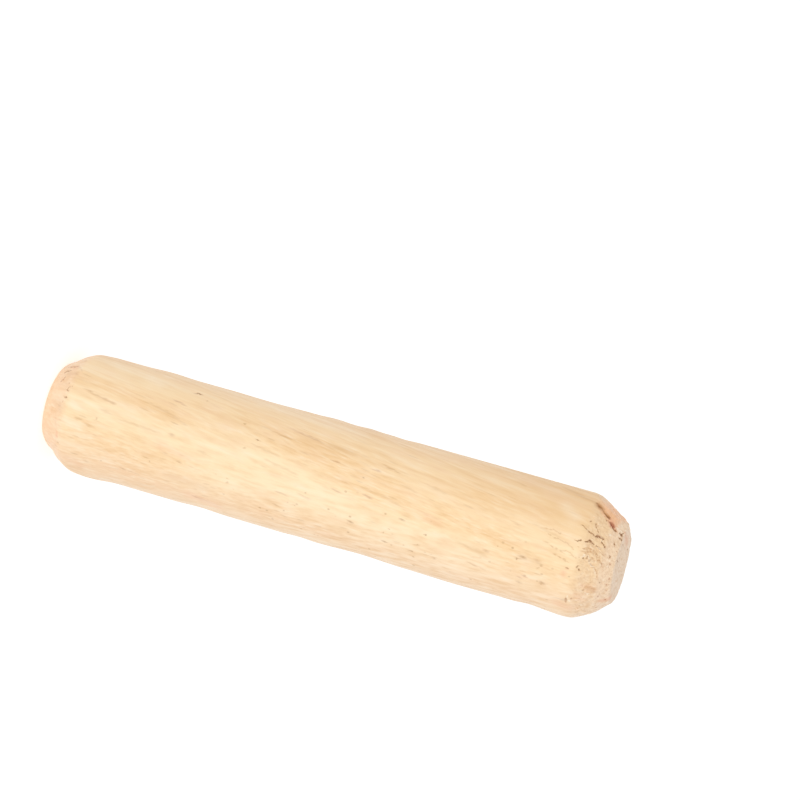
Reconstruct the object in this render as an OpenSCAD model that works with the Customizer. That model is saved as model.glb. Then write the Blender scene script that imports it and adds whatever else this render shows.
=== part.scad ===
// Dowel pin: one round wooden pin with a worn chamfer at each end and a split, checked tip.
// It stands on its foot face, and +Z runs along its axis to the tip. A place on its skin is an
// azimuth, counted from +X towards +Y, with a drop below the tip face or a rise above the foot.

/* [Pin] */
// Diameter of the shank
pin_d = 8; // [6:0.5:12]
// Length from the foot face to the tip face
pin_l = 39.1; // [25:0.5:60]

/* [Foot chamfer] */
// Height of the whole chamfer
foot_chamfer_h = 1.9; // [1.5:0.05:2.8]
// How far its long slope leans in
foot_slope_in = 0.6; // [0.4:0.05:0.9]
// Height of its nose, beside the face
foot_nose_h = 0.75; // [0.5:0.05:1]
// How far its nose leans in
foot_nose_in = 0.5; // [0.3:0.05:0.8]

/* [Tip chamfer] */
// Height of the whole chamfer
tip_chamfer_h = 2.15; // [1.6:0.05:2.8]
// How far its long slope leans in
tip_slope_in = 0.72; // [0.5:0.05:1]
// Height of its nose, beside the face
tip_nose_h = 0.85; // [0.5:0.05:1.1]
// How far its nose leans in
tip_nose_in = 0.87; // [0.5:0.05:1]
// Azimuth of the low side of the tip face, which was sawn a little out of square
face_low_azimuth = 160; // [100:5:200]
// How far out of square the tip face is, in degrees
face_lean = 2; // [0.5:0.5:4]

/* [Worn edges] */
// Radius where a chamfer leaves the shank
shoulder_r = 1.4; // [0.5:0.1:2]
// Radius where a slope meets its nose
knee_r = 1.4; // [0.5:0.1:2]
// Radius round each end face
rim_r = 0.25; // [0.1:0.05:0.5]

/* [Pared flats] */
// Azimuth of the flat pared on the back of the tip's chamfer
flat_azimuth = 180; // [160:2:200]
// How far its plane leans in, in degrees
flat_lean = 32; // [26:1:40]
// How deep it is pared below the chamfer
flat_depth = 0.34; // [0.1:0.02:0.46]
// Azimuth of the small flat worn on the rim of the tip face
rim_flat_azimuth = 160; // [150:5:190]
// How far its plane leans in, in degrees
rim_flat_lean = 62; // [50:1:75]
// How deep it is worn below the rim
rim_flat_depth = 0.2; // [0.08:0.02:0.3]

/* [Split and checks] */
// Width of the split at the skin
split_w = 0.34; // [0.2:0.02:0.5]
// Depth of the split
split_depth = 0.4; // [0.2:0.05:0.6]
// Width of a check at the skin
check_w = 0.17; // [0.1:0.01:0.26]
// Depth of a check
check_depth = 0.25; // [0.1:0.05:0.4]

/* [Torn grain] */
// Width of a pit torn out of the tip and its face
tip_pit_w = 0.26; // [0.14:0.02:0.4]
// Width of a chip torn out of the foot's chamfer
foot_chip_w = 0.5; // [0.3:0.05:0.8]
// Depth of the pits and chips
torn_depth = 0.12; // [0.06:0.02:0.2]

/* [Hidden] */

wood_colour = "#f0d3a8";
round_fn = 72;
cutter_fn = 24;
arc_steps = 3;

// Share of its shorter side that the rounding of a corner may take
corner_share = 0.45;

// Radii of the two chamfers
pin_r = pin_d / 2;
foot_knee_r = pin_r - foot_slope_in;
foot_face_r = foot_knee_r - foot_nose_in;
tip_knee_r = pin_r - tip_slope_in;
tip_face_r = tip_knee_r - tip_nose_in;

// Side of the blocks that cut the flats away
block = 2 * pin_d;

// Half section of the pin, as radius and height of each corner
TIP_KNEE = [tip_knee_r, pin_l - tip_nose_h];
TIP_RIM = [tip_face_r, pin_l];
CORNERS = [
    [0, 0],
    [foot_face_r, 0],
    [foot_knee_r, foot_nose_h],
    [pin_r, foot_chamfer_h],
    [pin_r, pin_l - tip_chamfer_h],
    TIP_KNEE,
    TIP_RIM,
    [0, pin_l]
];

// How far each corner is worn round; the first and last lie on the axis and stay sharp
WEAR = [0, rim_r, knee_r, shoulder_r, shoulder_r, knee_r, rim_r, 0];

// Radius and lean of the skin, by the drop below the tip face and by the rise above the foot
TIP_SKIN = [[0, tip_face_r], [tip_nose_h, tip_knee_r], [tip_chamfer_h, pin_r]];
FOOT_SKIN = [[0, foot_face_r], [foot_nose_h, foot_knee_r], [foot_chamfer_h, pin_r]];

// The split runs up the back of the chamfer and on over its nose: azimuth and drop of each bend
SPLIT = [[-148, 2.2], [-137, 0.88], [-131, 0.1]];

// The checks are short zigzag cracks that open where the grain runs out of the chamfer
CHECKS = [
    [[-118.5, 2.55], [-115, 1.45], [-107.5, 0.82]],
    [[-103, 2.5], [-107, 1.77], [-103, 1.12]],
    [[-127, 1.9], [-120.5, 1.42]],
    [[-98, 2.35], [-96.5, 1.27]]
];

// Pits torn out of the tip: azimuth and drop
TIP_PITS = [
    [-133, 0.37], [-117, 0.47], [-99.5, 0.44], [-89, 1.9], [-90.5, 1.58], [-80, 1.97],
    [-76.5, 2.6], [-43.5, 2.42], [-84, 1.08], [-58, 0.95]
];

// Pits torn out of the tip face: azimuth and share of the face's radius
FACE_PITS = [[73, 0.37], [67, 0.62], [46, 0.75], [38, 0.88], [-148, 0.6]];

// Chips torn out of the foot's chamfer: azimuth and rise
FOOT_CHIPS = [[-133, 0.75], [-122, 0.7], [-110, 1.65], [-100.5, 1.5], [-90, 0.95]];

function unit(v) = v / norm(v);

// The direction at an angle in a flat drawing
function heading(angle) = [cos(angle), sin(angle)];

// The shorter way from one angle to another
function turn_between(from, to) = (to - from + 540) % 360 - 180;

// The points that round corner b between a and c
function rounded(a, b, c, r) =
    let (
        back = unit(a - b),
        ahead = unit(c - b),
        half = acos(back * ahead) / 2,
        room = corner_share * min(norm(a - b), norm(c - b)),
        fitted_r = min(r, room * tan(half)),
        centre = b + unit(back + ahead) * fitted_r / sin(half),
        first = b + back * fitted_r / tan(half) - centre,
        last = b + ahead * fitted_r / tan(half) - centre,
        start = atan2(first[1], first[0]),
        turn = turn_between(start, atan2(last[1], last[0]))
    )
    [for (i = [0:arc_steps]) centre + fitted_r * heading(start + turn * i / arc_steps)];

// Lean of the skin's normal out of the level, between the bends of a chamfer
function skin_lean(skin, along) =
    along < skin[1][0] ? atan2(skin[1][1] - skin[0][1], skin[1][0] - skin[0][0])
    : along < skin[2][0] ? atan2(skin[2][1] - skin[1][1], skin[2][0] - skin[1][0])
    : 0;

function tip_point(place) =
    let (r = lookup(place[1], TIP_SKIN))
    [r * cos(place[0]), r * sin(place[0]), pin_l - place[1]];

// The turned blank, before anything is torn or pared
module blank() {
    last = len(CORNERS) - 1;
    worn = [
        for (i = [1:last - 1])
            each rounded(CORNERS[i - 1], CORNERS[i], CORNERS[i + 1], WEAR[i])
    ];
    rotate_extrude($fn = round_fn)
        polygon(concat([CORNERS[0]], worn, [CORNERS[last]]));
}

// Puts its children on the skin near the tip, with X out of the wood and Z up the skin
module on_tip(azimuth, drop) {
    rotate([0, 0, azimuth])
        translate([lookup(drop, TIP_SKIN), 0, pin_l - drop])
            rotate([0, -skin_lean(TIP_SKIN, drop), 0])
                children();
}

// The same near the foot
module on_foot(azimuth, rise) {
    rotate([0, 0, azimuth])
        translate([lookup(rise, FOOT_SKIN), 0, rise])
            rotate([0, skin_lean(FOOT_SKIN, rise), 0])
                children();
}

// The same on the sawn tip face
module on_face(azimuth, r) {
    fall = tan(face_lean) * (tip_face_r + r * cos(azimuth - face_low_azimuth));
    translate([r * cos(azimuth), r * sin(azimuth), pin_l - fall])
        rotate([0, -90, 0])
            children();
}

// Cutter for a crack: a V-edged wheel dips into the skin, so the crack closes at both ends
module crack_wheel(length, width, depth) {
    wheel_r = (length * length / 4 + depth * depth) / (2 * depth);
    half_hub = width / 2 * wheel_r / depth;
    translate([wheel_r - depth, 0, 0])
        rotate([90, 0, 0])
            rotate_extrude($fn = cutter_fn)
                polygon([[0, -half_hub], [wheel_r, 0], [0, half_hub]]);
}

// Cutter for a pit: a ball that dips into the skin
module pit_ball(width, depth) {
    ball_r = (width * width / 4 + depth * depth) / (2 * depth);
    translate([ball_r - depth, 0, 0])
        sphere(r = ball_r, $fn = cutter_fn);
}

// A crack through a list of bends on the tip, one wheel cut for each straight stretch
module crack(bends, width, depth) {
    for (i = [1:len(bends) - 1]) {
        middle = (bends[i - 1] + bends[i]) / 2;
        run = tip_point(bends[i]) - tip_point(bends[i - 1]);
        sideways = run * [-sin(middle[0]), cos(middle[0]), 0];
        on_tip(middle[0], middle[1])
            rotate([-asin(sideways / norm(run)), 0, 0])
                crack_wheel(norm(run) + 2 * width, width, depth);
    }
}

// Block that pares a flat: its plane is sunk by a depth below a corner of the tip's section
module flat_block(azimuth, lean, depth, corner) {
    rotate([0, 0, azimuth])
        translate([corner[0], 0, corner[1]])
            rotate([0, -lean, 0])
                translate([-depth, -block / 2, -block / 2])
                    cube(block);
}

// The saw's plane over the tip face, which meets the face's rim on its high side
module saw_block() {
    rotate([0, 0, face_low_azimuth])
        translate([-tip_face_r, 0, pin_l])
            rotate([0, face_lean, 0])
                translate([-block / 2, -block / 2, 0])
                    cube(block);
}

module dowel_pin() {
    color(wood_colour)
        difference() {
            blank();
            saw_block();
            flat_block(flat_azimuth, flat_lean, flat_depth, TIP_KNEE);
            flat_block(rim_flat_azimuth, rim_flat_lean, rim_flat_depth, TIP_RIM);
            crack(SPLIT, split_w, split_depth);
            for (bends = CHECKS)
                crack(bends, check_w, check_depth);
            for (place = TIP_PITS)
                on_tip(place[0], place[1])
                    pit_ball(tip_pit_w, torn_depth);
            for (place = FACE_PITS)
                on_face(place[0], place[1] * tip_face_r)
                    pit_ball(tip_pit_w, torn_depth);
            for (place = FOOT_CHIPS)
                on_foot(place[0], place[1])
                    pit_ball(foot_chip_w, torn_depth);
        }
}

dowel_pin();
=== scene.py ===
"""A turned beech dowel pin, dressed in bare wood with its split, checked and torn ends."""
import logging
import math
from dataclasses import dataclass
from enum import Enum
from functools import cached_property, partial
from typing import Any

import bmesh
import bpy
import numpy as np
from mathutils import Matrix, Vector


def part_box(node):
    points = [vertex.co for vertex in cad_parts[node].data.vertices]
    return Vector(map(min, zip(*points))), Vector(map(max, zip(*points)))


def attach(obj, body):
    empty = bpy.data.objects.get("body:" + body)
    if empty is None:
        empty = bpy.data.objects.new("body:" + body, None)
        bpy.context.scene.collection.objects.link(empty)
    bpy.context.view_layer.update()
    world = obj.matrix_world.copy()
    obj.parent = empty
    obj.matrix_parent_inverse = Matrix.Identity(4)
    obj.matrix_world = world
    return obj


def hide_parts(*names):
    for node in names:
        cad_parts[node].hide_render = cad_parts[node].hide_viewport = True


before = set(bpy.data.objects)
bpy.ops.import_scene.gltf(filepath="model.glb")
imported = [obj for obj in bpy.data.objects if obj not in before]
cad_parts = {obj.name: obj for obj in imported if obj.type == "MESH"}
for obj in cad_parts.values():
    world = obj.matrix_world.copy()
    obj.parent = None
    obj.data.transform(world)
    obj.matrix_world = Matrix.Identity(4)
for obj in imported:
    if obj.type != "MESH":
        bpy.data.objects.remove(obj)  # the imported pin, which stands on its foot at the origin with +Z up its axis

MM = 0.001
NODE = "dowel_pin"
BODY = "root"
LOG = logging.getLogger("dowel_pin")

# The way the grain runs, and the turns that bring it onto +Z
GRAIN = Vector((0.077, -0.147, 1.0)).normalized()
GRAIN_TURN = tuple(math.radians(turn) for turn in (-8.36, -4.36, 0.0))

# Blender's names for the kinds of node that are used most
MATH = "ShaderNodeMath"
VECTOR_MATH = "ShaderNodeVectorMath"
MAP_RANGE = "ShaderNodeMapRange"
NOISE = "ShaderNodeTexNoise"
ATTRIBUTE = "GeometryNodeInputNamedAttribute"

# Where the two long edges that the camera sees lie on the shank, as azimuths
LOWER_EDGE = -2.0
UPPER_EDGE = 178.0

# The depth and softness of the streaks of the shank, and the softness of the torn fibres
STREAK_DEPTH = 0.02
STREAK_SOFTNESS = 0.85
LINE_SOFTNESS = 0.8

# A distance from a mark, in half widths, at which it no longer shows, and a length that is none
FAR = 9.0
NO_LENGTH = 1e-9

# The ways in which the waves run that make the marks ragged, and where they start
RIPPLE_WAYS = np.array([[1.0, 0.6, -0.8], [-0.7, 1.0, 0.9], [0.9, -0.8, 1.0]])
RIPPLE_STARTS = np.array([0.3, 1.9, 4.1])

Points = np.ndarray
Socket = bpy.types.NodeSocket
Tree = bpy.types.NodeTree


def linear(colour: str) -> tuple[float, float, float, float]:
    """Turn an sRGB hex colour into the linear colour that a shader takes.

    Args:
        colour: the colour as "#rrggbb".

    Returns:
        Linear red, green and blue, and a full alpha.
    """
    parts = [int(colour[i:i + 2], 16) / 255 for i in (1, 3, 5)]
    red, green, blue = (p / 12.92 if p <= 0.04045 else ((p + 0.055) / 1.055) ** 2.4 for p in parts)
    return red, green, blue, 1.0


def smooth_step(low: float, high: float, value: Points) -> Points:
    """Rise smoothly from 0 at low to 1 at high."""
    share = np.clip((value - low) / (high - low), 0.0, 1.0)
    return share * share * (3 - 2 * share)


def add_node(tree: Tree, kind: str, inputs: Any = (), take: int | str = 0, **settings: Any) -> Socket | None:
    """Add a node with its settings, and fill or link its inputs.

    Args:
        tree: the node tree that gets the node.
        kind: Blender's name for the kind of node.
        inputs: a value or a socket for each input, in order, or by the input's name or number.
        take: the name or number of the output that is wanted.
        settings: the node's own properties.

    Returns:
        The output that is wanted, or None if the node has none.
    """
    node = tree.nodes.new(kind)
    for name, value in settings.items():
        setattr(node, name, value)
    for key, value in inputs.items() if isinstance(inputs, dict) else enumerate(inputs):
        if isinstance(value, Socket):
            tree.links.new(value, node.inputs[key])
        else:
            node.inputs[key].default_value = value
    return node.outputs[take] if len(node.outputs) else None


def emptied(owner: bpy.types.Material | bpy.types.World) -> Tree:
    """Clear the nodes away that a material or a world starts with.

    Args:
        owner: the material or the world.

    Returns:
        Its empty node tree.
    """
    owner.use_nodes = True
    owner.node_tree.nodes.clear()
    return owner.node_tree


def start_tree(name: str, inputs: dict[str, str], output: str) -> tuple[Tree, Any]:
    """Start a geometry tree.

    Args:
        name: the tree's name.
        inputs: the kind of each of its inputs, by name.
        output: the name of the shape that it gives.

    Returns:
        The tree, and its inputs' sockets by name.
    """
    tree = bpy.data.node_groups.new(name, "GeometryNodeTree")
    for label, kind in inputs.items():
        tree.interface.new_socket(label, in_out="INPUT", socket_type="NodeSocket" + kind)
    tree.interface.new_socket(output, in_out="OUTPUT", socket_type="NodeSocketGeometry")
    return tree, tree.nodes.new("NodeGroupInput").outputs


def end_tree(tree: Tree, shape: Socket, wood: Socket) -> None:
    """End a geometry tree in Realize Instances and Set Material.

    Args:
        tree: the tree to end.
        shape: the shape that it gives.
        wood: the material of the shape.
    """
    real = add_node(tree, "GeometryNodeRealizeInstances", (shape,))
    dressed = add_node(tree, "GeometryNodeSetMaterial", {"Geometry": real, "Material": wood})
    add_node(tree, "NodeGroupOutput", (dressed,))


def made_real(source: bpy.types.Object, tree: Tree, values: dict[str, Any], name: str) -> bpy.types.Object:
    """Run a node tree on an object and keep the result as a plain mesh.

    Args:
        source: the object that the tree starts from; it is removed.
        tree: the tree to run.
        values: a value for each of the tree's inputs, by name.
        name: the name of the new object.

    Returns:
        A new object with a plain mesh and no modifier.
    """
    modifier = source.modifiers.new(tree.name, "NODES")
    modifier.node_group = tree
    for item in tree.interface.items_tree:
        if item.in_out == "INPUT" and item.name in values:
            modifier[item.identifier] = values[item.name]
    graph = bpy.context.evaluated_depsgraph_get()
    mesh = bpy.data.meshes.new_from_object(source.evaluated_get(graph), preserve_all_data_layers=True,
                                           depsgraph=graph)
    bpy.data.objects.remove(source)
    mesh.name = name
    return linked(name, mesh)


def linked(name: str, data: Any) -> bpy.types.Object:
    """Put data in the scene as a new object.

    Args:
        name: the object's name.
        data: its mesh, camera or lamp.

    Returns:
        The object.
    """
    thing = bpy.data.objects.new(name, data)
    bpy.context.scene.collection.objects.link(thing)
    return thing


def settle(piece: bpy.types.Object, replaced: bool = False) -> None:
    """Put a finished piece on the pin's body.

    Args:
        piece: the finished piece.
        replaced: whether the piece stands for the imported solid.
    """
    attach(piece, BODY)
    if replaced:
        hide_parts(NODE)
    LOG.info("%s: %d vertices, %d faces", piece.name, len(piece.data.vertices), len(piece.data.polygons))


class Beech(Enum):
    """The wood's tones, as sRGB colours."""

    PALE = "#fce4bc"
    WARM = "#f7d5a6"
    PINK = "#f4cfab"
    STREAK = "#dfb076"
    PORE = "#b98d5c"
    END_PALE = "#fce0c3"
    END_DARK = "#cfa47c"
    TORN = "#f4d2a6"
    # This tan also paints the shade of the upper side, beside the wood's own tan towards the tip
    TAN = "#edc48f"
    # This rosy tone partly paints sheen and bounce light on the lower side and the back; on the foot it is the
    # chamfer's own tone
    ROSY = "#f5d3b4"
    # This tone paints shade in the fibre grooves and pores of the torn ends
    CAVITY = "#b98352"
    FLECK = "#fff1da"
    DARK = "#8a5218"
    RUST = "#9c4a2a"
    OCHRE = "#b57f42"
    BLUSH = "#eeb088"
    RUDDY = "#ffb279"


@dataclass(frozen=True)
class Pattern:
    """A pattern that runs along the grain, in millimetres: noise, or tubes where it has a gap."""

    width: float
    run: float
    gap: float = 0.0
    detail: float = 2.0


@dataclass(frozen=True)
class Layer:
    """A tone laid over the wood.

    Its share grows to its strength as the field that it follows goes from low to high, times the
    value of each field in where.
    """

    tone: Beech
    strength: float
    follows: str
    low: float = 0.0
    high: float = 1.0
    where: tuple[str, ...] = ()


# Vessels are drawn at their real width and gap; dashes and specks are coarser ones that stand out
PATTERNS = {
    "fibres": Pattern(0.13, 3.2, detail=3.0),
    "streaks": Pattern(0.45, 9.0, detail=3.0),
    "patches": Pattern(3.2, 16.0),
    "blotches": Pattern(0.7, 2.5),
    "shreds": Pattern(0.17, 0.6),
    "mottle": Pattern(0.24, 1.6),
    "vessels": Pattern(0.1, 2.6, 0.26),
    "dashes": Pattern(0.12, 3.4, 0.42),
    "specks": Pattern(0.14, 0.7, 0.5),
}

# Two fields that follow the broad patches: where fibres show, and where vessels crowd together
PATCHED = {"lined": (0.36, 0.6), "clustered": (0.38, 0.55)}

# The tones that the mesh carries as attributes, beside the tints of its marks. Three of them also carry painted
# light: shade on the upper side, sheen on the lower side, and shade in the hollows of the torn ends.
TONES = ("tip", "foot", "end_grain", "ruddy", "tan", "rosy_sheen", "flecked", "cavity")

LAYERS = (
    Layer(Beech.WARM, 1.0, "patches", 0.35, 0.65),
    # Painted shade: the tan darkens the upper side and the back, beside the wood's own tan towards the tip
    Layer(Beech.TAN, 1.0, "tan"),
    # Partly painted sheen and bounce light: a pinker, duller tone on the lower side and the back
    Layer(Beech.ROSY, 0.5, "rosy_sheen"),
    Layer(Beech.ROSY, 0.6, "foot"),
    Layer(Beech.STREAK, 0.36, "streaks", 0.5, 0.75),
    Layer(Beech.FLECK, 0.3, "streaks", 0.46, 0.25),
    Layer(Beech.STREAK, 0.4, "fibres", 0.48, 0.75, ("lined",)),
    Layer(Beech.FLECK, 0.4, "fibres", 0.45, 0.25, ("lined",)),
    Layer(Beech.PINK, 0.3, "blotches", 0.5, 0.75),
    Layer(Beech.TORN, 0.75, "tip"),
    # Paler end grain on the tip's lower side and back, partly painted sheen
    Layer(Beech.END_PALE, 0.4, "rosy_sheen", where=("tip",)),
    Layer(Beech.END_PALE, 0.8, "end_grain"),
    Layer(Beech.RUDDY, 0.52, "ruddy"),
    Layer(Beech.END_DARK, 0.16, "shreds", 0.5, 0.72, ("tip",)),
    Layer(Beech.FLECK, 0.26, "shreds", 0.42, 0.3, ("tip",)),
    Layer(Beech.STREAK, 0.16, "mottle", 0.52, 0.72),
    Layer(Beech.FLECK, 0.18, "mottle", 0.45, 0.25),
    Layer(Beech.STREAK, 0.34, "mottle", 0.48, 0.68, ("rosy_sheen", "flecked")),
    Layer(Beech.FLECK, 0.2, "mottle", 0.44, 0.28, ("rosy_sheen",)),
    Layer(Beech.PORE, 0.34, "vessels", where=("clustered",)),
    Layer(Beech.PORE, 0.22, "dashes"),
    Layer(Beech.PORE, 0.6, "specks", where=("flecked",)),
    # Painted shade in the fibre grooves and pores
    Layer(Beech.CAVITY, 0.28, "cavity"),
    Layer(Beech.OCHRE, 0.4, "dark"),
    Layer(Beech.BLUSH, 1.0, "blush"),
    Layer(Beech.OCHRE, 1.0, "ochre"),
    Layer(Beech.RUST, 1.0, "rust"),
    Layer(Beech.DARK, 1.0, "dark"),
    Layer(Beech.FLECK, 1.0, "pale"),
)


@dataclass(frozen=True)
class BeechFinish:
    """Bare steamed beech, turned on the shank and torn on the end grain.

    Beech is pale cream with a pink cast. Its fine vessels show as thin lines where the grain runs
    along the skin, as short specks where it dives in, and as pores on the end grain. It has no
    lacquer, so it is dull, with a little sheen from the turning. Sizes are in millimetres.
    """

    name: str = "turned_beech"
    warp_size: float = 7.0
    warp_reach: float = 0.5
    warp_stretch: float = 0.3
    tube_edges: tuple[float, float] = (1.35, 0.6)
    fewest_tubes: float = 0.35
    roughness: float = 0.62
    ior: float = 1.5
    sheen: float = 0.2
    bump_height: float = 0.012
    bump_strength: float = 0.6

    def grain_frame(self, tree: Tree) -> Socket:
        """Lay a frame along the grain.

        Args:
            tree: the material's tree.

        Returns:
            The object's coordinates in millimetres, turned so that Z runs along the wavy grain.
        """
        add = partial(add_node, tree)
        place = add("ShaderNodeTexCoord", take="Object")
        turned = add("ShaderNodeMapping", {"Vector": place, "Rotation": GRAIN_TURN, "Scale": (1 / MM,) * 3})
        slow = add(VECTOR_MATH, (turned, (1, 1, self.warp_stretch)), operation="MULTIPLY")
        warp = add(NOISE, {"Vector": slow, "Scale": 1 / self.warp_size, "Detail": 2.0}, "Color")
        centred = add(VECTOR_MATH, (warp, (0.5,) * 3), operation="SUBTRACT")
        reach = (2 * self.warp_reach, 2 * self.warp_reach, 0.0)
        return add(VECTOR_MATH, (centred, reach, turned), operation="MULTIPLY_ADD")

    def drawn(self, tree: Tree, grain: Socket, pattern: Pattern) -> Socket:
        """Draw a pattern along the grain.

        Args:
            tree: the material's tree.
            grain: coordinates in millimetres with Z along the grain.
            pattern: the pattern to draw.

        Returns:
            Noise from 0 to 1, or 1 in the darkest tubes and 0 between them, where some are faint.
        """
        add = partial(add_node, tree)
        across = pattern.gap or pattern.width
        place = add(VECTOR_MATH, (grain, (1 / across, 1 / across, 1 / pattern.run)), operation="MULTIPLY")
        if not pattern.gap:
            return add(NOISE, {"Vector": place, "Scale": 1.0, "Detail": pattern.detail})
        cell = add("ShaderNodeTexVoronoi", {"Vector": place, "Scale": 1.0}).node.outputs
        start, full = (edge * pattern.width / pattern.gap / 2 for edge in self.tube_edges)
        tube = add(MAP_RANGE, {"Value": cell["Distance"], "From Min": start, "From Max": full},
                   interpolation_type="SMOOTHSTEP")
        chance = add("ShaderNodeSeparateColor", (cell["Color"],))
        shown = add(MAP_RANGE, {"Value": chance, "From Min": self.fewest_tubes})
        return add(MATH, (tube, shown), operation="MULTIPLY")

    def build(self) -> bpy.types.Material:
        """Build the wood's material.

        Returns:
            The material, with colour, roughness and bump from one grain.
        """
        material = bpy.data.materials.new(self.name)
        tree = emptied(material)
        add = partial(add_node, tree)
        grain = self.grain_frame(tree)
        fields = {name: self.drawn(tree, grain, pattern) for name, pattern in PATTERNS.items()}
        for name, (low, high) in PATCHED.items():
            fields[name] = add(MAP_RANGE, {"Value": fields["patches"], "From Min": low, "From Max": high})
        for name in TONES + tuple(tint.value for tint in Tint):
            fields[name] = add("ShaderNodeAttribute", take="Fac", attribute_name=name)
        colour = linear(Beech.PALE.value)
        for layer in LAYERS:
            share = add(MAP_RANGE, {"Value": fields[layer.follows], "From Min": layer.low,
                                    "From Max": layer.high, "To Max": layer.strength})
            for name in layer.where:
                share = add(MATH, (share, fields[name]), operation="MULTIPLY")
            colour = add("ShaderNodeMix", {0: share, 6: colour, 7: linear(layer.tone.value)}, 2,
                         data_type="RGBA")
        relief = add(MATH, (fields["fibres"], fields["vessels"]), operation="SUBTRACT")
        bump = add("ShaderNodeBump", {"Height": relief, "Distance": self.bump_height * MM,
                                      "Strength": self.bump_strength})
        shader = add("ShaderNodeBsdfPrincipled",
                     {"Base Color": colour, "Roughness": self.roughness, "IOR": self.ior,
                      "Sheen Weight": self.sheen, "Normal": bump})
        add("ShaderNodeOutputMaterial", {"Surface": shader})
        return material


class Tint(Enum):
    """What colours the wood in a mark; the value names the mesh attribute that carries it."""

    BLUSH = "blush"
    OCHRE = "ochre"
    RUST = "rust"
    DARK = "dark"
    PALE = "pale"


@dataclass(frozen=True)
class Mark:
    """A crack, pit, chip or stain in the skin, drawn as a line of bends.

    Each bend is an azimuth in degrees, a height up the pin and a half width, both in millimetres.
    A mark without depth is a stain. Softness is the share of the half width over which it fades.
    """

    bends: tuple[tuple[float, float, float], ...]
    depth: float = 0.0
    tint: Tint = Tint.DARK
    strength: float = 1.0
    softness: float = 0.5


def specks(half_width: float, depth: float, tint: Tint, strength: float,
           *places: tuple[float, float]) -> tuple[Mark, ...]:
    """Make a round mark at each place, given as azimuth and height."""
    return tuple(Mark(((azimuth, height, half_width),), depth, tint, strength) for azimuth, height in places)


def lines(width: float, depth: float, tint: Tint, strength: float,
          *runs: tuple[tuple[float, float], ...]) -> tuple[Mark, ...]:
    """Make a mark of one half width along each run, given as azimuths and heights."""
    return tuple(Mark(tuple((*place, width) for place in run), depth, tint, strength, LINE_SOFTNESS)
                 for run in runs)


def streaks(half_width: float, tint: Tint, strength: float,
            *runs: tuple[float, float, float, float]) -> tuple[Mark, ...]:
    """Make a thin pointed mark along each run, given as azimuth and height of both ends."""
    return tuple(
        Mark(((a0, z0, half_width / 2), ((a0 + a1) / 2, (z0 + z1) / 2, half_width), (a1, z1, half_width / 2)),
             STREAK_DEPTH, tint, strength, STREAK_SOFTNESS)
        for a0, z0, a1, z1 in runs)


BLUSH, OCHRE, RUST, DARK, PALE = Tint

# The split on the back of the tip: its stains, the crack, and the tears that take it over the rim
SPLIT = (
    Mark(((-142.5, 37.92, 0.1), (-140.5, 38.06, 0.16), (-136.8, 38.14, 0.24), (-134.6, 38.3, 0.12)),
         0.0, BLUSH, 0.75, 0.95),
    Mark(((-149.0, 36.86, 0.06), (-147.0, 37.04, 0.24), (-146.0, 37.25, 0.19), (-143.8, 37.47, 0.1),
          (-142.2, 37.68, 0.18), (-142.4, 37.92, 0.07)), 0.03, OCHRE, 0.74, 0.9),
    Mark(((-144.0, 38.95, 0.1), (-155.3, 39.6, 0.2), (-195.0, 40.0, 0.3)), 0.03, BLUSH, 0.6, 0.95),
    Mark(((-149.3, 36.86, 0.05), (-148.4, 36.98, 0.12), (-147.5, 37.11, 0.13), (-146.6, 37.26, 0.05)),
         0.2, DARK, 0.4, 0.84),
    Mark(((-146.4, 37.26, 0.03), (-144.6, 37.39, 0.03), (-143.0, 37.52, 0.03)), 0.14, OCHRE, 0.55, 0.8),
    Mark(((-143.1, 37.53, 0.04), (-142.1, 37.68, 0.11), (-142.4, 37.8, 0.08), (-142.2, 37.92, 0.05)),
         0.2, DARK, 0.4, 0.8),
    Mark(((-136.7, 37.7, 0.02), (-136.9, 37.83, 0.035), (-137.1, 37.97, 0.04), (-136.6, 38.07, 0.04)),
         0.12, DARK, 0.4, 0.8),
    Mark(((-137.1, 38.04, 0.07), (-136.2, 38.15, 0.16), (-135.8, 38.23, 0.15), (-135.4, 38.31, 0.06)),
         0.24, RUST, 0.78, 0.8),
    Mark(((-133.0, 38.3, 0.045), (-132.8, 38.42, 0.075), (-132.3, 38.52, 0.05)), 0.14, DARK, 0.62, 0.75),
    Mark(((-136.1, 38.7, 0.035), (-135.0, 38.78, 0.06), (-134.8, 38.86, 0.07), (-140.2, 38.89, 0.035)),
         0.12, DARK, 0.75, 0.7),
    Mark(((-130.5, 38.88, 0.03), (-129.6, 38.95, 0.055), (-128.2, 39.02, 0.035)), 0.1, DARK, 0.65, 0.7),
    Mark(((-134.9, 39.55, 0.03), (-139.0, 39.75, 0.05), (-143.0, 39.93, 0.03)), 0.1, DARK, 0.6, 0.7),
    Mark(((142.0, 40.0, 0.03), (128.0, 39.86, 0.05)), 0.06, DARK, 0.5, 0.8),
)

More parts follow.
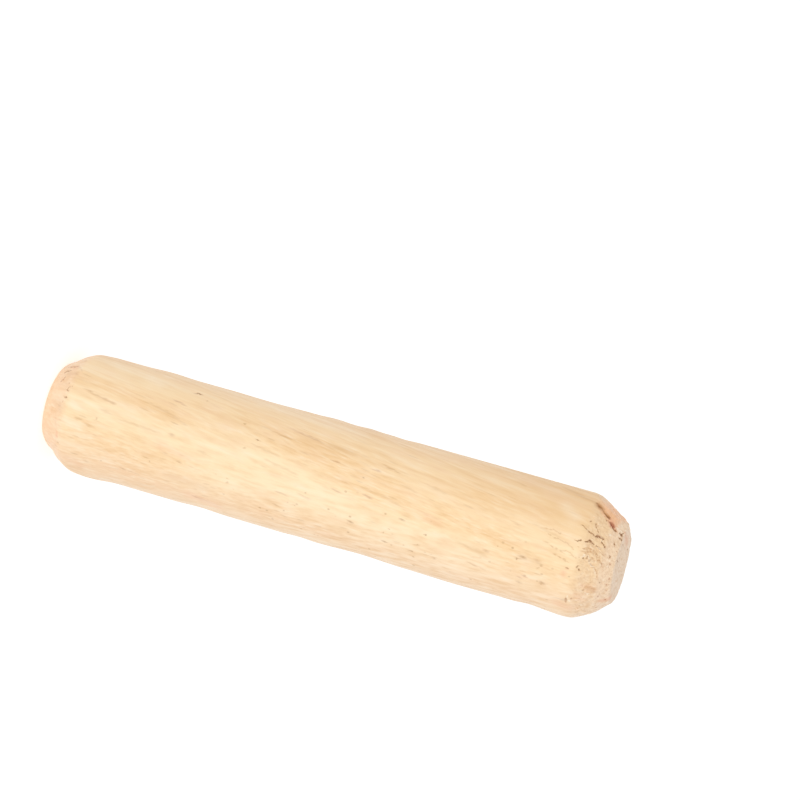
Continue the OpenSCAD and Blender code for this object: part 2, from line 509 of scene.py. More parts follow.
# The zigzag checks of the tip's chamfer, the torn fibres beside them and the smears round them
CHECKS = (
    Mark(((-118.4, 36.5, 0.028), (-117.6, 36.72, 0.042), (-115.4, 37.07, 0.04), (-113.4, 37.5, 0.035),
          (-114.4, 37.66, 0.07), (-114.4, 37.82, 0.085), (-114.4, 37.97, 0.06), (-112.2, 37.98, 0.03),
          (-110.3, 38.03, 0.04), (-109.0, 38.14, 0.045), (-107.4, 38.29, 0.025)), 0.1, DARK, 0.4, 0.8),
    Mark(((-114.2, 37.68, 0.04), (-114.4, 37.9, 0.05)), 0.1, RUST, 0.35, 0.8),
    Mark(((-126.4, 37.27, 0.015), (-123.4, 37.37, 0.03), (-120.7, 37.5, 0.038), (-118.4, 37.66, 0.025)),
         0.06, OCHRE, 0.75, 0.8),
    Mark(((-102.6, 36.4, 0.025), (-103.6, 36.7, 0.036), (-104.7, 37.1, 0.038), (-106.9, 37.28, 0.06),
          (-105.5, 37.5, 0.035), (-103.0, 37.95, 0.02)), 0.1, DARK, 0.55, 0.8),
    Mark(((-107.2, 37.26, 0.03), (-105.6, 37.48, 0.06)), 0.08, RUST, 0.4, 0.8),
    *lines(0.035, 0.04, OCHRE, 0.32,
           ((-101.7, 34.69), (-99.8, 35.38), (-98.8, 35.97), (-94.2, 36.56)),
           ((-93.9, 34.78), (-91.0, 35.49), (-88.9, 36.1)),
           ((-105.9, 34.43), (-106.5, 34.99), (-105.1, 35.51)),
           ((-99.2, 37.24), (-99.2, 37.76), (-92.2, 38.18), (-86.3, 38.46)),
           ((-95.4, 37.09), (-94.1, 37.55), (-89.5, 37.92)), ((-102.2, 38.01), (-97.8, 38.38)),
           ((-91.2, 35.81), (-91.2, 36.37), (-88.2, 36.76)), ((-85.9, 35.34), (-84.8, 35.93), (-82.1, 36.38)),
           ((-99.5, 37.61), (-93.9, 38.0), (-87.2, 38.32), (-81.9, 38.51)),
           ((-97.8, 36.76), (-98.6, 37.3), (-96.6, 37.81)),
           ((-96.6, 37.15), (-97.0, 37.53), (-96.4, 37.83), (-92.5, 37.98)),
           ((-86.0, 37.72), (-82.6, 38.03), (-76.5, 38.2), (-71.0, 38.31))),
    Mark(((-120.1, 38.61, 0.03), (-117.1, 38.65, 0.065), (-113.8, 38.71, 0.04)), 0.03, OCHRE, 0.6, 0.9),
    Mark(((-124.9, 38.76, 0.03), (-121.8, 38.81, 0.04)), 0.02, OCHRE, 0.36, 0.9),
    Mark(((-116.2, 38.29, 0.03), (-114.0, 38.36, 0.03)), 0.02, OCHRE, 0.34, 0.9),
    Mark(((-162.0, 34.4, 0.06), (-155.8, 35.43, 0.15), (-151.7, 36.16, 0.15), (-148.5, 36.85, 0.1)),
         0.02, OCHRE, 0.22, 0.98),
)

# The other flakes, stains, holes and pits of the tip; heights beyond the length lie on its face
TIP = (
    Mark(((-93.5, 37.49, 0.03), (-87.4, 37.62, 0.05), (-83.6, 37.91, 0.04), (-77.7, 38.1, 0.05),
          (-71.8, 38.21, 0.03)), 0.0, PALE, 0.4, 0.9),
    Mark(((-61.0, 37.7, 0.06), (-59.0, 37.98, 0.12), (-57.0, 38.2, 0.2)), 0.02, OCHRE, 0.3, 0.98),
    Mark(((-46.3, 36.66, 0.06), (-44.1, 36.68, 0.1), (-41.2, 36.7, 0.08)), 0.07, DARK, 0.42, 0.8),
    Mark(((-98.7, 39.28, 0.06), (-98.9, 39.7, 0.04), (-99.0, 40.05, 0.02)), 0.06, DARK, 0.45, 0.8),
    Mark(((78.9, 40.66, 0.03), (69.7, 40.38, 0.045), (63.5, 40.1, 0.03)), 0.05, DARK, 0.45, 0.8),
    *specks(0.06, 0.08, DARK, 0.5, (-124.8, 36.99), (-88.6, 36.96), (-89.8, 37.26), (-90.9, 37.45),
            (-88.6, 37.6), (-80.6, 37.04), (-78.6, 37.16), (-99.3, 38.65), (-116.0, 38.67), (-128.7, 38.84),
            (-65.8, 38.46), (46.0, 39.71), (-77.1, 36.48)),
    *specks(0.05, 0.05, RUST, 0.36, (38.0, 39.26), (-52.2, 38.86), (-70.2, 38.94), (-55.3, 39.9),
            (-81.8, 40.78), (-0.5, 40.11), (-1.2, 39.54), (-110.0, 38.9), (-90.0, 38.75), (-76.0, 38.6),
            (-62.0, 38.8), (-95.0, 39.5), (-120.0, 39.6), (-45.0, 38.5), (-32.0, 38.85), (-108.0, 40.0),
            (20.0, 39.9), (110.0, 39.8), (95.0, 40.4), (-46.7, 37.04)),
    *specks(0.08, 0.0, PALE, 0.6, (-91.9, 37.23), (-138.3, 38.5), (-140.2, 38.76), (-94.1, 38.71),
            (-143.7, 38.5), (-139.0, 38.58), (-150.0, 38.66), (-148.4, 38.93), (-131.5, 38.72),
            (-87.2, 38.66), (-68.9, 38.63), (-48.8, 36.76), (-43.9, 36.94), (-60.0, 39.3), (-75.0, 39.4),
            (-30.0, 38.3), (-52.0, 37.9), (-36.0, 37.6), (-123.0, 38.3)),
    Mark(((-151.0, 38.6, 0.12), (-145.0, 38.6, 0.18), (-137.5, 38.68, 0.14)), 0.0, PALE, 0.34, 0.98),
    Mark(((-78.0, 36.5, 0.05), (-74.0, 36.38, 0.09), (-69.4, 36.2, 0.12)), 0.0, BLUSH, 0.4, 0.98),
    Mark(((-50.0, 37.3, 0.25), (-46.0, 37.6, 0.25)), 0.0, BLUSH, 0.2, 0.98),
    Mark(((-62.5, 37.5, 0.12), (-59.5, 37.95, 0.24), (-57.0, 38.25, 0.16)), 0.0, BLUSH, 0.24, 0.98),
    Mark(((-36.0, 38.6, 0.12), (-28.0, 39.1, 0.2), (-22.0, 39.4, 0.12)), 0.0, BLUSH, 0.6, 0.95),
)

# The chips, tears and nicks of the foot's chamfer, and the stains beside them
FOOT = (
    Mark(((-144.2, 0.51, 0.025), (-140.7, 0.86, 0.04), (-139.1, 1.2, 0.06), (-138.4, 1.4, 0.03)),
         0.08, DARK, 0.4, 0.9),
    Mark(((-141.7, 1.3, 0.03), (-136.6, 1.6, 0.05), (-130.6, 1.95, 0.03)), 0.03, OCHRE, 0.3, 0.9),
    Mark(((-139.5, 1.5, 0.08), (-134.5, 1.8, 0.1)), 0.0, PALE, 0.3, 0.98),
    Mark(((-141.0, 0.8, 0.14), (-137.0, 1.3, 0.18)), 0.0, BLUSH, 0.25, 0.95),
    Mark(((-131.6, 0.55, 0.04), (-132.3, 0.66, 0.055), (-132.6, 0.81, 0.05), (-133.7, 0.99, 0.03)),
         0.12, DARK, 0.55, 0.8),
    Mark(((-123.6, 0.86, 0.025), (-121.6, 0.86, 0.05), (-118.8, 0.78, 0.03), (-116.9, 0.69, 0.025)),
         0.06, RUST, 0.45, 0.8),
    Mark(((-112.4, 1.76, 0.02), (-111.1, 1.62, 0.03), (-108.7, 1.52, 0.06), (-107.3, 1.66, 0.025)),
         0.07, DARK, 0.42, 0.8),
    Mark(((-101.9, 1.42, 0.025), (-100.5, 1.62, 0.045), (-98.6, 1.88, 0.03)), 0.07, DARK, 0.5, 0.8),
    *specks(0.06, 0.04, OCHRE, 0.4, (-112.8, 1.83), (-115.0, 1.45), (-95.8, 1.53), (-53.1, 1.66)),
    Mark(((-92.4, 1.0, 0.3), (-89.7, 1.6, 0.3)), 0.0, OCHRE, 0.13, 0.98),
    Mark(((-128.5, 0.95, 0.12), (-127.5, 1.6, 0.15)), 0.0, OCHRE, 0.14, 0.98),
    Mark(((-81.4, 1.21, 0.05), (-75.5, 1.32, 0.08), (-69.6, 1.4, 0.05)), 0.02, OCHRE, 0.1, 0.98),
    Mark(((-64.0, 1.53, 0.07), (-62.3, 1.54, 0.1), (-58.8, 1.58, 0.08)), 0.02, BLUSH, 0.5, 0.95),
    Mark(((-83.8, 2.9, 0.07), (-84.6, 3.07, 0.08)), 0.0, OCHRE, 0.36, 0.95),
    Mark(((-81.8, 3.43, 0.03), (-80.9, 3.78, 0.05), (-80.6, 4.12, 0.03)), 0.0, OCHRE, 0.34, 0.9),
    Mark(((-96.0, 2.2, 0.2), (-93.5, 2.7, 0.2)), 0.0, PALE, 0.4, 0.98),
    Mark(((-80.0, 2.0, 0.25), (-77.5, 3.1, 0.25)), 0.0, PALE, 0.4, 0.98),
)

# The vessel lines, specks and stains of the shank that stand out from its grain
SHANK = (
    *streaks(0.065, OCHRE, 0.4, (-113.4, 2.81, -110.0, 3.55), (-110.0, 3.5, -106.8, 5.15),
             (-122.0, 23.2, -119.0, 24.4), (-54.6, 30.2, -53.0, 31.3), (-124.0, 15.6, -121.0, 17.1)),
    *streaks(0.08, OCHRE, 0.2, (-117.5, 7.0, -113.0, 8.8), (-114.0, 8.4, -106.0, 10.2),
             (-98.7, 4.3, -96.5, 5.0), (-94.0, 5.8, -92.4, 8.6), (-87.0, 11.4, -85.0, 12.2),
             (-106.0, 14.8, -102.0, 16.7), (-96.0, 15.9, -90.5, 18.2), (-112.6, 18.0, -110.4, 18.6),
             (-96.5, 22.4, -93.0, 23.7), (-94.0, 23.7, -88.0, 25.5), (-108.0, 24.8, -105.0, 25.9),
             (-106.0, 33.9, -102.0, 35.4), (-115.0, 26.4, -111.0, 28.0), (-147.0, 31.8, -143.6, 32.3),
             (-131.0, 17.0, -125.5, 19.5), (-73.0, 29.1, -69.0, 30.6)),
    *streaks(0.06, RUST, 0.38, (-128.0, 8.5, -126.0, 9.4), (-37.0, 11.0, -34.0, 12.9),
             (-112.2, 20.1, -111.8, 20.6), (-115.0, 22.8, -114.2, 23.4), (-86.7, 20.7, -85.5, 21.3),
             (-89.5, 22.8, -88.5, 23.4), (-94.2, 9.2, -93.4, 9.7), (-70.0, 17.1, -68.5, 17.9),
             (-76.0, 34.3, -76.0, 34.7), (-54.6, 33.5, -58.0, 34.1)),
    *streaks(0.06, RUST, 0.18, (-133.0, 16.4, -127.0, 19.0), (-73.5, 18.6, -71.5, 19.6),
             (-104.0, 32.2, -102.0, 33.0)),
    *specks(0.06, 0.03, DARK, 0.45, (-111.0, 14.95), (-105.0, 22.4), (-61.6, 18.44), (-46.0, 17.8),
            (-61.0, 22.3), (-66.0, 23.7), (-51.0, 24.6), (-77.0, 25.5), (-70.0, 27.2), (-75.0, 33.6),
            (-49.0, 26.5), (-72.5, 33.2), (-50.0, 33.6)),
    *specks(0.07, 0.02, DARK, 0.7, (-144.0, 9.86), (-144.0, 9.95), (-143.8, 9.78)),
    *specks(0.11, 0.02, DARK, 0.3, (-56.0, 35.05), (-55.6, 35.0)),
    *specks(0.055, 0.02, OCHRE, 0.45, (-138.0, 10.7), (-41.2, 3.72), (-71.0, 10.3), (-89.0, 4.2),
            (-65.0, 13.7), (-63.5, 8.3), (-57.6, 3.2), (-48.0, 4.86), (-46.0, 6.4), (-68.8, 13.7),
            (-56.0, 17.2), (-45.0, 20.8), (-60.0, 24.5), (-49.0, 25.1), (-65.5, 24.8), (-54.0, 29.4),
            (-57.6, 26.8), (-69.5, 34.7), (-68.0, 35.7), (-71.0, 31.2), (-79.0, 31.9), (-48.0, 28.0),
            (-52.0, 27.8), (-101.0, 14.3), (-123.0, 13.7), (-96.0, 21.4)),
    *(Mark(((azimuth, low, width), (next_azimuth, high, width)), 0.0, tint, strength, 0.98)
      for azimuth, low, next_azimuth, high, width, tint, strength in (
          (-80.0, 8.8, -77.6, 10.8, 0.22, BLUSH, 0.22), (-53.0, 9.6, -52.0, 12.2, 0.3, OCHRE, 0.1),
          (-126.0, 19.6, -124.5, 21.2, 0.22, OCHRE, 0.13), (-86.0, 27.0, -83.5, 27.9, 0.2, BLUSH, 0.2),
          (-70.0, 30.4, -66.5, 31.2, 0.16, OCHRE, 0.16), (-76.0, 33.3, -75.0, 34.6, 0.3, OCHRE, 0.12),
          (-38.0, 2.3, -32.0, 3.2, 0.4, BLUSH, 0.16), (-36.0, 11.0, -31.0, 13.0, 0.35, BLUSH, 0.24),
          (-36.0, 36.2, -33.0, 36.9, 0.35, BLUSH, 0.25), (-146.0, 6.4, -142.0, 7.3, 0.3, PALE, 0.25),
          (-133.0, 35.2, -124.0, 36.0, 0.35, PALE, 0.25), (-158.0, 14.0, -154.0, 21.0, 0.4, PALE, 0.14))),
)


@dataclass(frozen=True)
class Swell:
    """A low rise in the skin, or a hollow where the rise is negative; sizes are in millimetres."""

    azimuth: float
    height: float
    half_run: float
    half_width: float
    rise: float


# The unevenness of the two long edges that the camera sees, from foot to tip
SWELLS = (
    Swell(LOWER_EDGE - 23.0, 0.42, 0.85, 2.4, -0.26), Swell(LOWER_EDGE, 3.2, 2.3, 2.0, 0.155),
    Swell(LOWER_EDGE, 11.4, 2.0, 2.0, -0.06), Swell(LOWER_EDGE, 18.3, 1.2, 2.0, -0.04),
    Swell(LOWER_EDGE, 22.6, 3.0, 2.0, -0.08), Swell(LOWER_EDGE, 29.0, 3.5, 2.0, 0.04),
    Swell(LOWER_EDGE, 34.1, 1.2, 2.0, -0.07), Swell(LOWER_EDGE, 36.2, 1.2, 2.0, 0.05),
    Swell(LOWER_EDGE, 38.6, 1.0, 2.2, -0.08), Swell(UPPER_EDGE + 21.0, 0.42, 0.85, 2.2, -0.14),
    Swell(UPPER_EDGE, 2.1, 1.0, 2.0, -0.05), Swell(UPPER_EDGE, 6.9, 2.0, 2.0, 0.06),
    Swell(UPPER_EDGE, 14.0, 3.0, 2.0, -0.04), Swell(UPPER_EDGE, 18.6, 1.3, 2.0, 0.05),
    Swell(UPPER_EDGE, 21.0, 1.0, 2.0, 0.04), Swell(UPPER_EDGE, 23.4, 1.0, 2.0, -0.04),
)


@dataclass(frozen=True)
class Flat:
    """A plane that pares the pin, sunk by a depth below a corner of its section.

    The azimuth and lean of its outward normal are in degrees, and the sizes in millimetres.
    """

    azimuth: float
    lean: float
    depth: float
    radius: float
    height: float

    def plane(self) -> tuple[Points, Points]:
        """Work the plane out.

        Returns:
            Its outward normal and a point on it.
        """
        azimuth, lean = math.radians(self.azimuth), math.radians(self.lean)
        level = math.cos(lean)
        normal = np.array([math.cos(azimuth) * level, math.sin(azimuth) * level, math.sin(lean)])
        corner = np.array([self.radius * math.cos(azimuth), self.radius * math.sin(azimuth), self.height])
        return normal, corner - self.depth * normal


@dataclass
class Section:
    """The pin's half section, in millimetres, turned about its axis.

    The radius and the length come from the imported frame, and the chamfers repeat the solid's, with
    the rim of the tip worn a little rounder.
    """

    radius: float
    length: float
    foot_chamfer_h: float = 1.9
    foot_slope_in: float = 0.6
    foot_nose_h: float = 0.75
    foot_nose_in: float = 0.5
    tip_chamfer_h: float = 2.15
    tip_slope_in: float = 0.72
    tip_nose_h: float = 0.85
    tip_nose_in: float = 0.87
    shoulder_r: float = 1.4
    knee_r: float = 1.4
    foot_rim_r: float = 0.25
    tip_rim_r: float = 0.45
    arc_steps: int = 7
    shank_step: float = 0.3
    end_step: float = 0.055
    foot_face_step: float = 0.3

    @classmethod
    def from_frame(cls) -> "Section":
        """Take the pin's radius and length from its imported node."""
        low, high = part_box(NODE)
        return cls(radius=(high.x - low.x) / 2 / MM, length=(high.z - low.z) / MM)

    @property
    def tip_knee_r(self) -> float:
        """Return the radius of the knee in the tip's chamfer."""
        return self.radius - self.tip_slope_in

    @property
    def tip_face_r(self) -> float:
        """Return the radius of the tip face."""
        return self.tip_knee_r - self.tip_nose_in

    @cached_property
    def corners(self) -> list[tuple[float, float, float, float]]:
        """List the section's corners.

        Returns:
            Radius, height, wear radius, and the longest step on the stretch up to each corner.
        """
        fine, foot_knee_r = self.end_step, self.radius - self.foot_slope_in
        return [
            (0.0, 0.0, 0.0, 0.0),
            (foot_knee_r - self.foot_nose_in, 0.0, self.foot_rim_r, self.foot_face_step),
            (foot_knee_r, self.foot_nose_h, self.knee_r, fine),
            (self.radius, self.foot_chamfer_h, self.shoulder_r, fine),
            (self.radius, self.length - self.tip_chamfer_h, self.shoulder_r, self.shank_step),
            (self.tip_knee_r, self.length - self.tip_nose_h, self.knee_r, fine),
            (self.tip_face_r, self.length, self.tip_rim_r, fine),
            (0.0, self.length, 0.0, fine),
        ]

    def rounded(self, index: int) -> list[Vector]:
        """Wear one corner round.

        Args:
            index: the corner's number, from the foot.

        Returns:
            The points of the arc, as radius and height.
        """
        before, corner, after = (Vector(c[:2]) for c in self.corners[index - 1:index + 2])
        wear = self.corners[index][2]
        back, ahead = (before - corner).normalized(), (after - corner).normalized()
        half = back.angle(ahead) / 2
        centre = corner + (back + ahead).normalized() * wear / math.sin(half)
        first = corner + back * wear / math.tan(half) - centre
        turn = first.angle_signed(corner + ahead * wear / math.tan(half) - centre)
        steps = [Matrix.Rotation(-turn * i / self.arc_steps, 2) for i in range(self.arc_steps + 1)]
        return [centre + step @ first for step in steps]

    def outline(self) -> list[Vector]:
        """Step along the whole section.

        Returns:
            Its points from the foot's centre to the tip's, as radius and height.
        """
        points = [Vector(self.corners[0][:2])]
        last = len(self.corners) - 1
        for index in range(1, last + 1):
            stretch = self.rounded(index) if index < last else [Vector(self.corners[last][:2])]
            start = points[-1]
            gap = stretch[0] - start
            count = max(1, math.ceil(gap.length / self.corners[index][3]))
            points += [start + gap * i / count for i in range(1, count)] + stretch
        return points

    def skin(self, places: Points) -> Points:
        """Return points on the skin of the sharp section.

        Args:
            places: an azimuth in degrees and a height in each row. What a height has beyond the
                pin's length is counted from the rim of the tip face inwards.

        Returns:
            The points, in millimetres.
        """
        corners = np.array(self.corners)[1:-1, :2]
        corners = np.vstack([corners, (0.0, self.length + self.tip_face_r)])
        radius = np.interp(places[:, 1], corners[:, 1], corners[:, 0])
        azimuth = np.radians(places[:, 0])
        height = np.minimum(places[:, 1], self.length)
        return np.stack([radius * np.cos(azimuth), radius * np.sin(azimuth), height], 1)


def turn_from(azimuth: float, points: Points) -> Points:
    """Return how far points lie round the pin from an azimuth, in degrees up to 180 either way."""
    around = np.degrees(np.arctan2(points[:, 1], points[:, 0]))
    return np.mod(around - azimuth + 180.0, 360.0) - 180.0


@dataclass(frozen=True)
class Sides:
    """Where the skin's broad tones change.

    The sides are azimuths counted from the seen side, the heights run up the pin, and the drops
    run down from the tip face. The blends lie where each chamfer meets the shank, and end grain
    shows by how much the skin faces up or down. The last five values say how strong a tone is.
    The tan on the upper side, and on the back below the tip, is painted shade; the tan towards the
    tip is the wood's own. The rosy tone of the lower side and the back is partly painted sheen and
    bounce light.
    """

    hidden: tuple[float, float] = (105.0, 150.0)
    upper: tuple[float, float] = (-25.0, 5.0)
    back: tuple[float, float] = (-65.0, -35.0)
    lower: tuple[float, float] = (15.0, 70.0)
    flecked: tuple[float, float] = (0.0, 20.0)
    tip_blend: tuple[float, float] = (-0.5, 0.35)
    foot_blend: tuple[float, float] = (-0.6, 0.2)
    end_grain: tuple[float, float] = (0.4, 0.88)
    tipwards: tuple[float, float] = (24.0, 35.0)
    mid_heights: tuple[float, float] = (12.0, 18.0)
    fleck_heights: tuple[float, float] = (9.0, 17.0)
    ruddy_drops: tuple[float, float] = (0.3, 0.9)
    ruddy_edge: float = -48.0
    ruddy_slant: float = 7.4
    ruddy_blend: float = 6.0
    ruddy_below: float = 0.2
    # Painted shade on the upper side and the back; the tan towards the tip is the wood's own
    upper_shade: float = 0.3
    tan_tip: float = 0.35
    tan_round: float = 0.12
    back_shade: float = 0.16
    # Partly painted sheen on the back below the tip
    back_sheen: float = 0.5


@dataclass
class TurnedPin:
    """The wooden pin: turned, pared, split and torn, as one closed mesh. Sizes are in millimetres.

    The saw has an azimuth and a lean, and each flat an azimuth, a lean and a depth. Each ripple
    that makes the marks ragged has a pitch and a share.
    """

    section: Section
    sides: Sides = Sides()
    swells: tuple[Swell, ...] = SWELLS
    marks: tuple[Mark, ...] = SPLIT + CHECKS + TIP + FOOT + SHANK
    saw: tuple[float, float] = (160.0, 2.0)
    pared_flat: tuple[float, float, float] = (180.0, 32.0, 0.34)
    rim_flat: tuple[float, float, float] = (160.0, 62.0, 0.2)
    columns: int = 228
    crowding: float = 0.6
    seen_side: float = -100.0
    weld: float = 0.002
    wave_height: float = 0.015
    wave_length: float = 5.0
    lump_height: float = 0.05
    lump_size: float = 1.1
    fibre_depth: float = 0.024
    fibre_width: float = 0.2
    fibre_run: float = 1.4
    fibre_edge: float = 0.05
    pore_depth: float = 0.035
    pore_gap: float = 0.34
    pore_edges: tuple[float, float] = (0.4, 0.1)
    pores_left_out: float = 0.55
    foot_tearing: float = 0.2
    side_pores: float = 0.15
    slivers_per_square: float = 3.5
    sliver_length: float = 0.3
    sliver_width: float = 0.07
    sliver_point: float = 0.1
    sliver_sides: int = 5
    sliver_lift: float = 0.04
    sliver_scatter: float = 0.22
    sliver_sizes: tuple[float, float] = (0.5, 1.3)
    sliver_paleness: float = 0.45
    sliver_crowding: float = 3.0
    ripples: tuple[tuple[float, float], ...] = ((0.45, 1.0), (0.17, 0.5))
    raggedness: float = 0.03
    mark_steps: int = 4
    mark_roundness: float = 0.8
    mark_reach: float = 2.2
    refinements: int = 2
    refine_reach: float = 0.04
    broad_softness: float = 0.85
    seed: int = 7

    @cached_property
    def planes(self) -> list[tuple[Points, Points]]:
        """Lay the planes of the sawn tip face and of the two flats on the back of the tip.

        Returns:
            Each plane's outward normal and a point on it.
        """
        s = self.section
        flats = (Flat(self.saw[0], 90 - self.saw[1], 0.0, -s.tip_face_r, s.length),
                 Flat(*self.pared_flat, s.tip_knee_r, s.length - s.tip_nose_h),
                 Flat(*self.rim_flat, s.tip_face_r, s.length))
        return [flat.plane() for flat in flats]

    def lathe_tree(self) -> Tree:
        """Build the node tree that turns a section into a closed pin.

        Returns:
            A tree with inputs for the columns, how they crowd towards the seen side, and the weld.
        """
        tree, given = start_tree("turn_section", {
            "Section": "Geometry", "Rows": "Int", "Columns": "Int", "Crowding": "Float",
            "Seen Side": "Float", "Weld": "Float", "Wood": "Material"}, "Pin")
        add = partial(add_node, tree)
        ring = add(MATH, (given["Columns"], 1.0), operation="ADD")
        grid = add("GeometryNodeMeshGrid", {"Vertices X": given["Rows"], "Vertices Y": ring})
        index = add("GeometryNodeInputIndex")
        row = add(MATH, (index, 0.5), operation="ADD")
        row = add(MATH, (row, ring), operation="DIVIDE")
        row = add(MATH, (row,), operation="FLOOR")
        passed = add(MATH, (row, ring), operation="MULTIPLY")
        even = add(MATH, (index, passed), operation="SUBTRACT")
        even = add(MATH, (even, math.tau), operation="MULTIPLY")
        even = add(MATH, (even, given["Columns"]), operation="DIVIDE")
        pull = add(MATH, (add(MATH, (even,), operation="SINE"), given["Crowding"]), operation="MULTIPLY")
        azimuth = add(MATH, (even, pull), operation="SUBTRACT")
        azimuth = add(MATH, (azimuth, given["Seen Side"]), operation="ADD")
        point = add("GeometryNodeSampleIndex", {"Geometry": given["Section"], "Index": row,
                                                "Value": add("GeometryNodeInputPosition")},
                    data_type="FLOAT_VECTOR")
        corner = add("ShaderNodeSeparateXYZ", (point,)).node.outputs
        level = [add(MATH, (corner["X"], add(MATH, (azimuth,), operation=wave)), operation="MULTIPLY")
                 for wave in ("COSINE", "SINE")]
        around = add("ShaderNodeCombineXYZ", (*level, corner["Z"]))
        turned = add("GeometryNodeSetPosition", {"Geometry": grid, "Position": around})
        closed = add("GeometryNodeMergeByDistance", {"Geometry": turned, "Distance": given["Weld"]})
        end_tree(tree, add("GeometryNodeFlipFaces", {"Mesh": closed}), given["Wood"])
        return tree

    def turn(self, wood: bpy.types.Material) -> bpy.types.Object:
        """Turn the section on the lathe tree.

        Args:
            wood: the material of the pin.

        Returns:
            The smooth blank, as a plain mesh object.
        """
        outline = self.section.outline()
        mesh = bpy.data.meshes.new("section")
        mesh.from_pydata([(p.x * MM, 0.0, p.y * MM) for p in outline],
                         [(i, i + 1) for i in range(len(outline) - 1)], [])
        values = {"Rows": len(outline), "Columns": self.columns, "Crowding": self.crowding,
                  "Seen Side": math.radians(self.seen_side), "Weld": self.weld * MM, "Wood": wood}
        return made_real(linked("section", mesh), self.lathe_tree(), values, "turned_pin")

    def pare(self, points: Points) -> Points:
        """Push the points that stand above a flat back onto it.

        Args:
            points: points in millimetres.

        Returns:
            The points, none of them above a flat.
        """
        pared = points.copy()
        for normal, point in self.planes:
            above = np.maximum((pared - point) @ normal, 0.0)
            pared -= above[:, None] * normal
        return pared

    def mark_line(self, mark: Mark) -> tuple[Points, Points]:
        """Step along a mark.

        Args:
            mark: the mark to follow.

        Returns:
            Points on the pared skin, and the mark's half width at each.
        """
        bends = np.array(mark.bends)
        steps = np.linspace(0, len(bends) - 1, 1 + self.mark_steps * (len(bends) - 1))
        line = np.stack([np.interp(steps, np.arange(len(bends)), bends[:, i]) for i in range(3)], 1)
        return self.pare(self.section.skin(line[:, :2])), line[:, 2]

    def nearness(self, points: Points, mark: Mark, margin: float = 0.0) -> Points:
        """Return how far points lie from a mark.

        Args:
            points: the points to measure, in millimetres.
            mark: the mark to measure from.
            margin: what is added to the mark's half width.

        Returns:
            Each point's distance in half widths, or a large number far away.
        """
        line, widths = self.mark_line(mark)
        widths = widths + margin
        ratio = np.full(len(points), FAR)
        reach = self.mark_reach * widths.max()
        near = np.flatnonzero(((points > line.min(0) - reach) & (points < line.max(0) + reach)).all(1))
        close = points[near]
        ends, end_widths = (line[1:], widths[1:]) if len(line) > 1 else (line, widths)
        for start, end, width, next_width in zip(line, ends, widths, end_widths):
            run = end - start
            share = np.clip((close - start) @ run / max(run @ run, NO_LENGTH), 0.0, 1.0)
            gap = np.linalg.norm(close - start - share[:, None] * run, axis=1)
            ratio[near] = np.minimum(ratio[near], gap / (width + share * (next_width - width)))
        return ratio

    def ragged(self, points: Points) -> Points:
        """Push points about a little, so that the marks get ragged edges.

        Args:
            points: points in millimetres.

        Returns:
            The pushed points.
        """
        pushed = points.copy()
        for pitch, share in self.ripples:
            waves = RIPPLE_WAYS * math.tau / pitch
            pushed += self.raggedness * share * np.sin(points @ waves.T + RIPPLE_STARTS)
        return pushed

    def refine(self, pin: bpy.types.Object) -> None:
        """Split the faces along the marks into quarters, so that the marks have crisp edges.

        Args:
            pin: the turned blank, whose mesh is changed.
        """
        fine_marks = [mark for mark in self.marks if mark.softness < self.broad_softness]
        for _ in range(self.refinements):
            shape = bmesh.new()
            shape.from_mesh(pin.data)
            shape.faces.ensure_lookup_table()
            centres = self.pare(np.array([face.calc_center_median() for face in shape.faces]) / MM)
            wanted = np.zeros(len(centres), bool)
            for mark in fine_marks:
                wanted |= self.nearness(centres, mark, self.refine_reach) < 1.0
            edges = {edge for i in np.flatnonzero(wanted) for edge in shape.faces[i].edges}
            bmesh.ops.subdivide_edges(shape, edges=list(edges), cuts=1, use_grid_fill=True)
            shape.to_mesh(pin.data)
            shape.free()

    def swell(self, points: Points) -> Points:
        """Move points outwards where the skin swells, and inwards where it is hollow.

        Args:
            points: the skin's points, in millimetres.

        Returns:
            The moved points.
        """
        radius = self.section.radius
        rise = np.zeros(len(points))
        for swell in self.swells:
            aside = np.radians(turn_from(swell.azimuth, points)) * radius / swell.half_width
            along = (points[:, 2] - swell.height) / swell.half_run
            rise += swell.rise * (1.0 - smooth_step(0.0, 1.0, np.hypot(aside, along)))
        grown = points.copy()
        grown[:, :2] *= 1.0 + (rise / radius)[:, None]
        return grown

